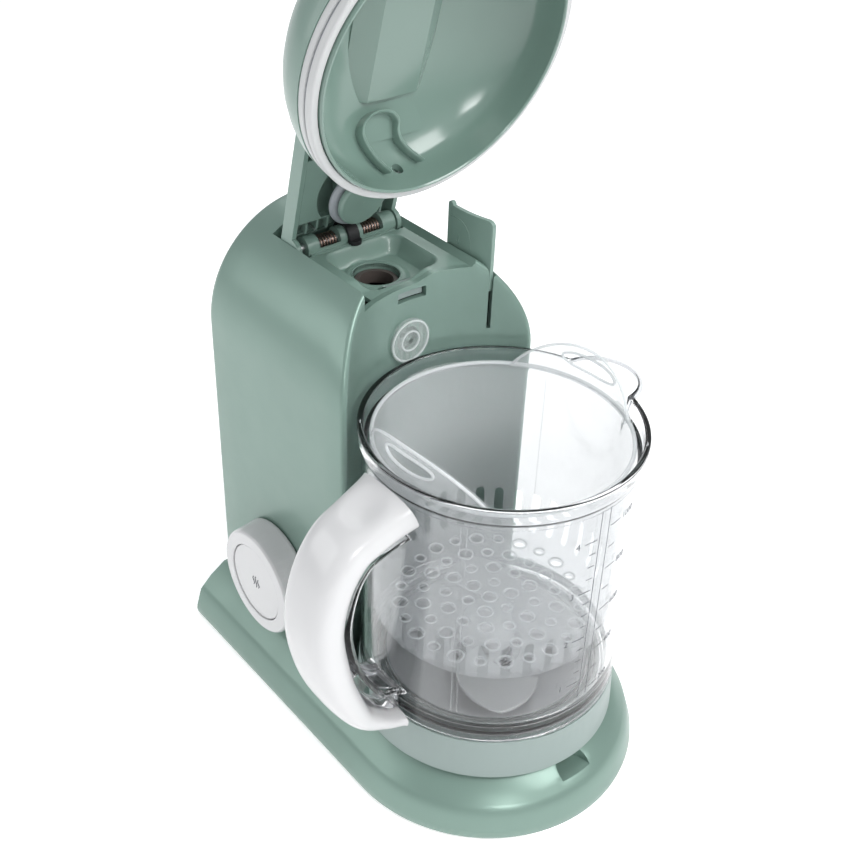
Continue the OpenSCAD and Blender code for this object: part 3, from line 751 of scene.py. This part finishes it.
def graduations():
    """Two scales printed on the bowl, in millilitres and in steps, each beside a line."""
    thin, digit = 0.34, 4.4
    ml_top, ml_step = 153.0, 11.05      # height of the 1000 ml tick, and height for 100 ml
    left_top, left_step = 149.4, 6.4
    forms = []
    for k in range(9):
        z, is_long = ml_top - k * ml_step, k % 2 == 0
        forms.append(stripe(6, 12.5 if is_long else 10, z, z + thin))
        if is_long:
            forms.append(label(str(1000 - 100 * k), 13.6, z, digit))
    for k in range(13):
        z, is_long = left_top - k * left_step, k % 4 == 0
        forms.append(stripe(-7.5 if is_long else -4.5, -1.2, z, z + thin))
        if is_long:
            forms.append(label(str(4 - k // 4), -11.6, z, digit))
    for degrees in (-0.2, 4.6):
        forms.append(stripe(degrees, degrees + 0.3, 62, 163))
    piece("bowl_scale", joined(*forms), "bowl", "mark_grey")


def spout_lip():
    """The thick round edge of the pouring spout, its grey colour painted shade for the clear lip's
    shading and outline.
    """
    radius = 18.6
    centre = SPOUT_REACH - radius - 1
    turns = [math.radians(a) for a in range(5, 176, 3)]
    path = [(radius * math.cos(t), centre + radius * math.sin(t), BOWL_TOP - 1) for t in turns]
    piece("spout_lip", sweep(path, disc(0.95, 12)), "bowl", "lip_painted_shade")


def mould_lines():
    """Fine raised lines of the moulding: a collar line and upright seams."""
    line = disc(0.16, 8)
    forms = [sweep([on_bowl(a, 162.6, 0.05) for a in range(-76, 62, 2)], line)]
    for degrees, z0, z1 in ((-57, 64, 162), (-54.5, 64, 162), (118, 60, 160)):
        ends = [on_bowl(degrees, z0, 0.05), on_bowl(degrees, z1, 0.05)]
        forms.append(sweep(ends, line, (1, 0, 0)))
    piece("bowl_seams", joined(*forms), "bowl", "clear_plastic")


# ---------------- handle
def bar_section(half_w, half_t, power, count=72):
    """A squarish oval. A smaller power makes it squarer."""
    def bent(v):
        return math.copysign(abs(v) ** power, v)
    return [(bent(math.cos(a)) * half_w, bent(math.sin(a)) * half_t)
            for a in (2 * math.pi * k / count for k in range(count))]


def bar(path, half_w, half_t, dent=None, power=0.72, thin=0.0):
    """A bar along a path in the plane x = 0, wider at both ends.

    dent moves each corner. thin slims the inner side towards the path's end.
    """
    flare = 0.17
    rings, last = [], len(path) - 1
    for i, here in enumerate(path):
        ahead = (path[min(i + 1, last)] - path[max(i - 1, 0)]).normalized()
        side = Vector((ahead.y, -ahead.x))
        wide = 1 + flare * abs(2 * i / last - 1) ** 6
        ring = []
        for a, b in bar_section(half_w * wide, half_t, power):
            slim = thin * ease((i / last - 0.55) / 0.4)
            p = here - side * (b * (1 - slim) - half_t * slim)
            corner = Vector((a, p.x, p.y))
            if dent:
                corner = dent(corner)
            ring.append(corner)
        rings.append(ring)
    return loft(rings)


HANDLE_REACH = -94.0   # the grip's middle line at its farthest from the bowl


def thumb(corner):
    """A shallow dent for the thumb on top of the grip, near the bowl."""
    off = ((corner.x - 1) / 11.5) ** 2 + ((corner.y + 71) / 11) ** 2
    if corner.z < 148 or off > 1:
        return corner
    return corner - Vector((0, -0.35, 1.0)) * 2.0 * (1 - off) ** 2


def handle():
    """The white grip, the clear rib along its inside and the rib's thick root."""
    reach = HANDLE_REACH
    bowl_room = rod((0, 0), BOWL_R + 0.35, 20, 200, 2, 144)
    grip = spline([(-57, 159), (-71, 153.5), (-82, 147.5), (reach + 3.5, 133), (reach, 112),
                   (reach + 5, 86), (-77, 63), (-66, 56), (-57, 53.6)], 14)
    grip_mesh = carved(mesh_of(bar(grip, 14, 8.6, thumb, thin=0.6)), [bowl_room])
    bevelled(piece("grip", grip_mesh, "bowl", "white_plastic", ("handle",), 45),
             0.6, 3, 50)
    root = slab([(-56.5, 51), (-56.5, 65), (-62, 66.5), (-68.5, 71), (-74, 77.5), (-79, 86),
                 (-82, 84), (-78, 73), (-70, 61), (-63, 54)], -8.5, 8.5, 0)
    bevelled(piece("grip_root", carved(mesh_of(root), [bowl_room]), "bowl",
                   "clear_plastic", (), 45), 1.2, 3, 50)
    rib = spline([(-57, 148), (-66.5, 144.5), (-74.8, 140.5), (reach + 13, 130), (reach + 10, 112),
                  (reach + 14.5, 89.5), (-69.5, 69.5), (-62, 65), (-57, 63.5)], 7)
    rib_mesh = carved(mesh_of(bar(rib, 11, 1.3, power=0.5)), [bowl_room])
    bevelled(piece("grip_rib", rib_mesh, "bowl", "clear_plastic",
                   ("handle_core",), 45), 0.3, 2, 50)


# ---------------- basket
BASKET_FLOOR = low("basket").z
RING_STEP = 10         # between the rings of holes in the floor
SLOT_HALF, SLOT_LOW, SLOT_HIGH = 2.1, 79.4, 100


def stadium(half_w, z0, z1, steps=6):
    """An upright slot outline as (sideways, height)."""
    turns = [math.pi * k / steps for k in range(steps + 1)]
    top = [(half_w * math.cos(t), z1 - half_w + half_w * math.sin(t)) for t in turns]
    bottom = [(-half_w * math.cos(t), z0 + half_w - half_w * math.sin(t)) for t in turns]
    return top + bottom


def wall_slots():
    """The ring of upright slots in the wall."""
    slots = []
    for k in range(36):
        turn = Matrix.Rotation(math.radians(10 * k + 5), 3, "Z")
        slot = slab(stadium(SLOT_HALF, SLOT_LOW, SLOT_HIGH), 46, 58, 0)
        slots.append(moved(slot, lambda c: turn @ c))
    return joined(*slots)


def floor_holes():
    """The rings of holes in the floor, and the raised rim round each hole."""
    holes, rims = [], []
    for k in range(5):
        for i in range(max(1, 6 * k)):
            turn = math.radians(i * 60 / max(1, k) + k * 7)
            middle = (RING_STEP * k * math.cos(turn), RING_STEP * k * math.sin(turn))
            size = 2.0 if (i + k) % 2 else 2.9
            holes.append(rod(middle, size, BASKET_FLOOR - 3, BASKET_FLOOR + 6, 2, 24))
            rim = lathe([(size + 0.5 + a, BASKET_FLOOR + 1.6 + b) for a, b in disc(0.5, 8)], 24)
            rims.append(moved(rim, lambda c: c + Vector((*middle, 0))))
    return joined(*holes), joined(*rims)


def basket():
    """The milky cup with its slots, holes and thick edge, and the lugs that it hangs by."""
    floor = BASKET_FLOOR
    wall = [(0, floor), (46.5, floor), (50.2, floor + 2.2), (52.2, floor + 7), (54.1, 165),
            (54.1, 168), (52.3, 168), (52.4, 165), (50.6, floor + 7.6), (48.6, floor + 3.6),
            (45.5, floor + 1.8), (0, floor + 1.8)]
    holes, rims = floor_holes()
    mesh = carved(mesh_of(lathe(rounded(wall, 0.6, 3), 216)), [wall_slots(), holes])
    piece("basket_cup", mesh, "basket", "frosted_plastic", ("basket",), 40)
    piece("basket_rings", rims, "basket", "frosted_edge")
    edge = lathe([(53.2 + a, 167.2 + b) for a, b in disc(0.85, 12)], 216)
    piece("basket_edge", edge, "basket", "frosted_edge")
    lugs, section = [], rounded([(-0.7, -1.8), (-0.7, 1.5), (0.7, 1.5), (0.7, -1.8)], 0.4, 2)
    for azimuth in (0, 72, 180, 252):
        turns = [math.radians(azimuth - 6 + 2 * k) for k in range(7)]
        lugs.append(sweep([(54.3 * math.cos(t), 54.3 * math.sin(t), 166.6) for t in turns],
                          section))
    piece("basket_lugs", joined(*lugs), "basket", "frosted_plastic")


def tab(middle, half, side, slot_low, slot_high):
    """A lifting tab: a curved plate with an oval finger slot, and the beads round both edges.

    middle, half and the slot's ends are along x. side is 1 on the far side and -1 on the near.
    """
    inner, outer, foot, slot_z = 51.8, 53.4, 166.5, 176.8
    top = high("basket_tabs").z

    def height(x):
        t = min(1.0, abs(x - middle) / half)
        return foot + (top - foot) * (1 - t ** 2.2) ** 0.75

    def bent(x, r):
        return (x, side * math.sqrt(r * r - x * x))
    xs = [middle - half * math.cos(math.pi * k / 48) for k in range(49)]
    rings = []
    for x in xs:
        (xi, yi), (xo, yo) = bent(x, inner), bent(x, outer)
        z = max(foot + 0.3, height(x))
        rings.append([(xi, yi, foot), (xo, yo, foot), (xo, yo, z - 0.3),
                      (xo, (yi + yo) / 2, z), (xi, yi, z - 0.3)])
    span = (slot_high - slot_low) / 2
    centre = (slot_low + slot_high) / 2
    slot = [(centre + span * math.copysign(abs(math.cos(a)) ** 0.8, math.cos(a)),
             slot_z + 3.4 * math.sin(a)) for a in (2 * math.pi * k / 40 for k in range(40))]
    mesh = carved(mesh_of(loft(rings)), [slab(slot, *sorted((side * 40, side * 60)), 1)])
    bead = [bent(x, outer - 0.5) + (z,) for x, z in slot]
    edge = [bent(x, outer - 0.4) + (max(foot + 0.8, height(x)) - 0.5,) for x in xs]
    return mesh, joined(sweep(bead, disc(0.6, 10), (0, side, 0), closed=True),
                        sweep(edge, disc(0.65, 10), (0, side, 0)))


def tabs():
    """Both lifting tabs and their beads."""
    for name, details in (("near", (3, 33, -1, -10, 16.5)), ("far", (-6, 31, 1, -18, 11))):
        mesh, trim = tab(*details)
        piece("tab_" + name, mesh, "basket", "frosted_plastic",
              ("basket_tabs",), 40)
        piece("tab_trim_" + name, trim, "basket", "frosted_edge")


# ---------------- lid
HINGE = Vector(joint("lid_hinge")["pos_m"]) / MM
LID_OPEN = math.radians(joint("lid_hinge")["range_deg"][1])


def opened(form):
    """Turns a form drawn on the shut lid to the open rest pose."""
    turn = Matrix.Rotation(-LID_OPEN, 3, "Y")
    return moved(form, lambda c: HINGE + turn @ (c - HINGE))


# the lid's inner skin, as (distance from the axis, height) from its rim to its middle
LINER = spline([(54.8, 176), (54.5, 181.5), (52.9, 186.4), (48.5, 191.2), (42, 195.9),
                (32.5, 200.8), (20, 204.9), (8, 206.8), (0, 207.1)], 7)


def liner_height(x, y):
    """Height of the lid's inner skin over a point."""
    r = math.hypot(x, y)
    for outer, inner in zip(LINER, LINER[1:]):
        if outer.x >= r >= inner.x:
            return outer.y + (inner.y - outer.y) * (outer.x - r) / max(0.001, outer.x - inner.x)
    return LINER[0].y


def liner():
    """The glossy inner skin: a dome with a long raised band and a flat facet at its hinge end."""
    back = [(0, 209.4), (20, 207.6), (41, 199.6), (50, 194), (55.6, 187.6), (56.3, 185), (56.3, 172.2),
            (55.9, 171.4), (55.2, 171.4), (54.8, 171.9)]
    dome = lathe([tuple(p) for p in LINER] + back, 192)
    band = slab([(-21, 204), (-12, 198.4), (12, 198.4), (21, 204), (21, 207.5), (-21, 207.5)],
                -31, 40, 0)
    facet = slab([(-33.5, 200), (-45.5, 192.2), (-47, 194), (-35, 203)], -15, 19.4, 1)
    mesh = carved(mesh_of(opened(dome)), [opened(band), opened(facet)], "UNION")
    steam_hole = rod((-3.3, 183.4), 2.4, -60, -49, 0, 32)
    mesh = carved(mesh, [opened(steam_hole)])
    bevelled(piece("lid_lining", mesh, "lid", "green_gloss", ("lid_liner",), 12),
             0.5, 3, 12)


def omega_rib():
    """A standing rib shaped like a horseshoe, which steers the steam."""
    foot = spline([(-53.4, -10.4), (-51.2, -12.8), (-47.8, -15.4), (-44, -17.4), (-40.8, -17.8),
                   (-38.3, -15.6), (-36.9, -10.8), (-37, -5.6), (-38.6, -1), (-41.4, 1),
                   (-44.6, 0.1), (-47.6, 0.5), (-50, 2.2), (-52, 4.4), (-53.6, 7)], 6)
    rise = Vector((0.62, 0, -0.78))
    half_thick, tall = 0.8, 5.1
    rings, last = [], len(foot) - 1
    for i, p in enumerate(foot):
        ahead = (foot[min(i + 1, last)] - foot[max(i - 1, 0)]).normalized()
        side = Vector((ahead.y, -ahead.x, 0)) * half_thick
        base = Vector((p.x, p.y, liner_height(p.x, p.y) + 0.8))
        crest = base + rise * tall
        rings.append([base - side, crest - side * 0.9, crest - side * 0.5 + rise * 0.35,
                      crest + side * 0.5 + rise * 0.35, crest + side * 0.9, base + side])
    piece("steam_rib", opened(loft(rings)), "lid", "green_plastic", (), 50)


def lid_ring(name, outline, round_by, slot, look, hides=()):
    """A ring turned about the lid's axis."""
    form = opened(lathe(rounded(outline, round_by, 4), 192))
    piece(name, form, "lid", look, hides)


def lid_rings():
    """Both soft rings, and the groove rim between them, whose darker grey is painted shade in the gap.
    """
    soft = ("pale_silicone", "pale_silicone")
    lid_ring("rim_ring", [(56.6, 172.8), (59.3, 172.8), (59.8, 173.4), (59.8, 176.4),
                          (56.6, 176.4)], 0.5, *soft, ("rim_gasket",))
    lid_ring("steam_ring", [(56.6, 177.5), (59.9, 177.5), (59.9, 180.7), (56.6, 180.7)], 0.8,
             *soft, ("steam_gasket",))
    # the groove rim's darker grey is painted shade in the gap between the two soft rings
    lid_ring("ring_groove", [(56.6, 176.2), (59, 176.2), (59, 177.7), (56.6, 177.7)], 0.3,
             "pale_silicone", "seal_grey_and_groove_shade")


def lid():
    """Everything that swings with the lid."""
    refined("lid_shell", "green_plastic", 0.5, 3, 40)
    refined("lid_rim", "green_plastic", 0.3, 2, 40)
    liner()
    omega_rib()
    lid_rings()
    refined("arm_panel", "green_plastic", 0.4, 2)
    plug_parts()
    arm_details()


def plug_parts():
    """The stopper for the filler and its seal."""
    def turned(outline):
        form = lathe(rounded(outline, 0.5, 4), 96)
        return opened(moved(form, lambda c: c + Vector((FILLER.x, FILLER.y, 0))))
    plug = turned([(0, 202.6), (10.8, 202.6), (11.6, 203.4), (11.6, 205.4), (5, 206), (5, 219.6),
                   (0, 219.6)])
    piece("plug_disc", plug, "lid", "green_plastic", ("tank_plug",))
    seal = turned([(5, 206.1), (12.6, 206.1), (14.2, 207.2), (14.2, 208.4), (13, 209.2),
                   (5, 209.2)])
    piece("plug_ring", seal, "lid", "seal_grey_and_groove_shade", ("plug_seal",))


def arm_details():
    """Short ribs, a cross rib and a pin in the arm near the hinge."""
    rib_x = -103.6
    forms = []
    for y, depth in ((-20, 5), (-14.5, 8), (-9, 6), (9, 8), (14.5, 5), (20, 7)):
        forms.append(box_form((rib_x, y - 0.5, 213.2), (rib_x + depth, y + 0.5, 215.6)))
    forms.append(box_form((-97.6, -25.2, 213.1), (-96.8, 25.2, 215.8)))
    piece("arm_ribs", opened(joined(*forms)), "lid", "green_plastic")
    piece("arm_pin", opened(rod((-100.5, -17), 0.55, 210.6, 216, 2, 16)), "lid", "steel")


# ---------------- controls and small parts
PRESS = 2.7            # the start button's travel and a little clearance


def knob_mark():
    """A plain steam mark: three rising waves."""
    middle = (low("start_button") + high("start_button")) / 2
    face = low("start_button").y - 0.03
    forms = []
    for offset, tall in ((-2.0, 2.4), (0.0, 3.2), (2.0, 2.4)):
        wave = [(middle.x + offset + 0.6 * math.sin(t * 2 * math.pi), face,
                 middle.z - tall + 2 * tall * t) for t in (k / 20 for k in range(21))]
        forms.append(sweep(wave, disc(0.24, 8), (0, 1, 0)))
    piece("start_mark", joined(*forms), "button", "mark_grey")


def lock_relief():
    """The line and the small arrow moulded on the near side of the lock tab."""
    y = low("lock_tab").y + 0.02
    line = spline([(-76, y, 225), (-69, y, 225), (-65.2, y + 0.25, 222.6), (-63.3, y + 0.55, 218),
                   (-62.6, y + 0.6, 213)], 5)
    arrow = [(-70, y, 218), (-70, y, 213.5)]
    head = [(-71.6, y, 215.2), (-70, y, 213.3), (-68.4, y, 215.2)]
    forms = [sweep(p, disc(0.16, 8), (0, 1, 0)) for p in (line, arrow, head)]
    piece("lock_marks", joined(*forms), "lock", "green_gloss")


def valve_rings():
    """The thick rim and the inner ring of the soft steam outlet."""
    front = high("steam_valve").x
    circles = [[(front - 0.35, a, VALVE_Z + b) for a, b in disc(r, 64)] for r in (9.5, 4.6)]
    forms = [sweep(circle, disc(0.5, 10), (1, 0, 0), closed=True) for circle in circles]
    piece("valve_rings", joined(*forms), "base", "frosted_edge")


def stem():
    """The start button's stem, short enough to clear the start switch when pressed."""
    stem_low, stem_high = low("button_stem"), high("button_stem")
    middle = (stem_low + stem_high) / 2
    form = rod((middle.x, middle.z), (stem_high.x - stem_low.x) / 2, stem_low.y,
               stem_high.y - PRESS, 1)
    piece("stem", form, "button", "white_plastic", ("button_stem",))


# the CAD nodes that only get rounded edges, with the width of the rounding
SOFTENED = {"base_shell": 0.9, "seat_ring": 0.7, "lock_tab": 0.7, "latch_tongue": 0.4,
            "knob": 0.6, "start_button": 0.6, "hinge_barrel": 0.5, "hinge_clip": 0.5,
            "steam_valve": 0.8, "blade": 0.35, "blade_hub": 0.5, "power_inlet": 0.4,
            "rubber_feet": 0.4}
OTHER_LOOKS = {"base_shell": "pearl_green", "steam_valve": "soft_clear", "blade": "blade_grey",
               "blade_hub": "blade_grey"}


def small_parts():
    """The softened CAD nodes, the marks, the outlet's rings and the stem."""
    for node, width in SOFTENED.items():
        refined(node, OTHER_LOOKS.get(node, SLOTS[node]), width, 3)
    knob_mark()
    lock_relief()
    valve_rings()
    stem()


def dress_all():
    """Gives every carried-over CAD node the material of its slot, or another look."""
    for node, slot in SLOTS.items():
        dress(node, slot)
    dress("hinge_springs", "copper_steel")
    dress("water_tank", "tank_brown")


# ---------------- camera and light
# the camera's place in metres, its line of sight and its upward direction
EYE = Vector((0.29989, -0.29317, 0.45878))
AHEAD = Vector((-0.62953, 0.52872, -0.56934))
UP = Vector((-0.45923, 0.33787, 0.82155))


def camera():
    """The photograph's view."""
    ahead = AHEAD.normalized()
    right = ahead.cross(UP.normalized()).normalized()
    up = right.cross(ahead)
    lens = bpy.data.cameras.new("view")
    lens.lens = 53.33
    lens.sensor_width = 36
    holder = bpy.data.objects.new("view", lens)
    holder.matrix_world = Matrix((
        (right.x, up.x, -ahead.x, EYE.x),
        (right.y, up.y, -ahead.y, EYE.y),
        (right.z, up.z, -ahead.z, EYE.z),
        (0, 0, 0, 1)))
    bpy.context.scene.collection.objects.link(holder)
    bpy.context.scene.camera = holder


def softbox(name, place, aim, size, power, spread=180):
    """A large rectangular lamp at place, turned to aim. spread is the angle of its cone."""
    lamp = bpy.data.lights.new(name, "AREA")
    lamp.shape = "RECTANGLE"
    lamp.size, lamp.size_y = size
    lamp.energy = power
    lamp.spread = math.radians(spread)
    holder = bpy.data.objects.new(name, lamp)
    holder.location = place
    holder.rotation_euler = (Vector(aim) - Vector(place)).to_track_quat("-Z", "Y").to_euler()
    bpy.context.scene.collection.objects.link(holder)


def room():
    """An even room, bright overhead and greyer towards the horizon."""
    world = bpy.data.worlds.new("room")
    bpy.context.scene.world = world
    world.use_nodes = True
    tree = world.node_tree
    place = tree.nodes.new("ShaderNodeTexCoord")
    split = tree.nodes.new("ShaderNodeSeparateXYZ")
    ramp = tree.nodes.new("ShaderNodeValToRGB")
    ramp.color_ramp.elements[0].position = 0.0
    ramp.color_ramp.elements[0].color = (0.72, 0.74, 0.76, 1)
    ramp.color_ramp.elements[1].position = 0.75
    ramp.color_ramp.elements[1].color = (0.95, 0.97, 1.0, 1)
    tree.links.new(place.outputs["Generated"], split.inputs["Vector"])
    tree.links.new(split.outputs["Z"], ramp.inputs["Fac"])
    tree.links.new(ramp.outputs["Color"], tree.nodes["Background"].inputs["Color"])
    tree.nodes["Background"].inputs["Strength"].default_value = 0.55


def ground():
    """A plain pale floor that glows a little, so that it reads as white."""
    half = 4.0
    mesh = bpy.data.meshes.new("floor")
    mesh.from_pydata([(-half, -half, 0), (half, -half, 0), (half, half, 0), (-half, half, 0)], [],
                     [(0, 1, 2, 3)])
    material, tree, shader = new_material("floor")
    tree.links.new(tint(tree, noise(tree, 3, 2), (0.9, 0.9, 0.9), (0.92, 0.92, 0.92)),
                   shader.inputs["Base Color"])
    shader.inputs["Roughness"].default_value = 0.9
    shader.inputs["Emission Color"].default_value = (1, 1, 1, 1)
    shader.inputs["Emission Strength"].default_value = 0.45
    mesh.materials.append(material)
    floor = bpy.data.objects.new("floor", mesh)
    bpy.context.scene.collection.objects.link(floor)


def studio():
    """The room, the floor and four soft lamps."""
    room()
    softbox("key", (0.7, 0.3, 0.95), (0, 0, 0.12), (0.6, 0.6), 8)
    softbox("fill", (-0.5, -0.75, 0.5), (-0.05, 0, 0.1), (0.7, 0.45), 1.9)
    softbox("back", (-0.65, 0.3, 0.95), (-0.08, 0, 0.15), (0.5, 0.7), 2)
    softbox("front", (0.85, -0.35, 0.55), (0, 0, 0.08), (0.3, 0.2), 0.17, 40)
    ground()
    bpy.context.scene.view_settings.view_transform = "Standard"


dress_all()
tower()
deck()
bowl()
graduations()
mould_lines()
spout_lip()
handle()
basket()
tabs()
lid()
small_parts()
camera()
studio()
